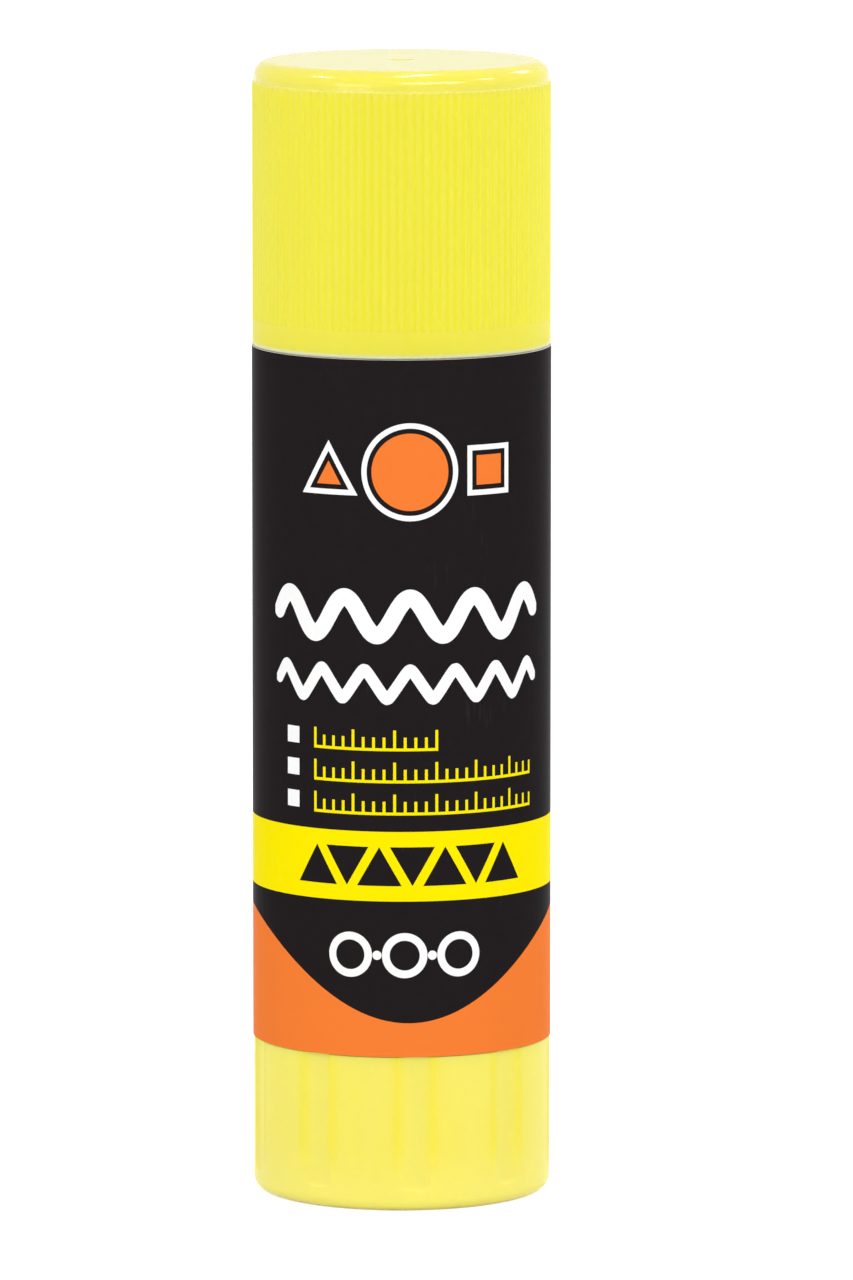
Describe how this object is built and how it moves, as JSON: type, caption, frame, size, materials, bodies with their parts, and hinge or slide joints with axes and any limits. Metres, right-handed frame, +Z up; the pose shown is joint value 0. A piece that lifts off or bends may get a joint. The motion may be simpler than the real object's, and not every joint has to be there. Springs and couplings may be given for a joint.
{
  "type": "glue stick",
  "caption": "Twist-up glue stick: a fluted knob turns a screw spindle that lifts the glue in a double-walled barrel, under a ribbed pull-off cap.",
  "frame": {"origin": "centre of the knob's stand ring, on the surface that the stick stands on", "axes": "+Z up along the barrel towards the cap, -Y out of the front of the label, +X to the right seen from the front"},
  "size_m": [0.027, 0.027, 0.1027],
  "materials": {
    "cap": "glossy moulded yellow polypropylene, slightly translucent",
    "seal": "natural polyethylene, milky",
    "barrel": "white moulded polypropylene",
    "label": "glossy printed film: black, orange and yellow fields with white figures",
    "knob": "glossy moulded yellow polypropylene, slightly translucent",
    "spindle": "natural moulded polypropylene",
    "platform": "natural moulded polypropylene",
    "glue": "soft waxy white paste with a worn, smeared top"
  },
  "bodies": {
    "barrel": {"outer_sleeve": "barrel", "glue_tube": "barrel", "label": "label"},
    "knob": {"knob": "knob", "spindle": "spindle"},
    "carriage": {"platform": "platform", "glue": "glue"},
    "cap": {"cap_shell": "cap", "cap_seal": "seal"}
  },
  "joints": [
    {"name": "knob_turn", "type": "hinge", "parent": "barrel", "child": "knob", "pos_m": [0, 0, 0], "axis": [0, 0, 1], "range_deg": [-4198, 878]},
    {"name": "glue_rise", "type": "slide", "parent": "barrel", "child": "carriage", "axis": [0, 0, 1], "range_m": [-0.0525, 0.011]},
    {"name": "cap_pull", "type": "slide", "parent": "barrel", "child": "cap", "axis": [0, 0, 1], "range_m": [0, 0.035]}
  ],
  "couplings": [
    {"joint": "glue_rise", "follows": "knob_turn", "m_per_rad": 0.0007162}
  ]
}
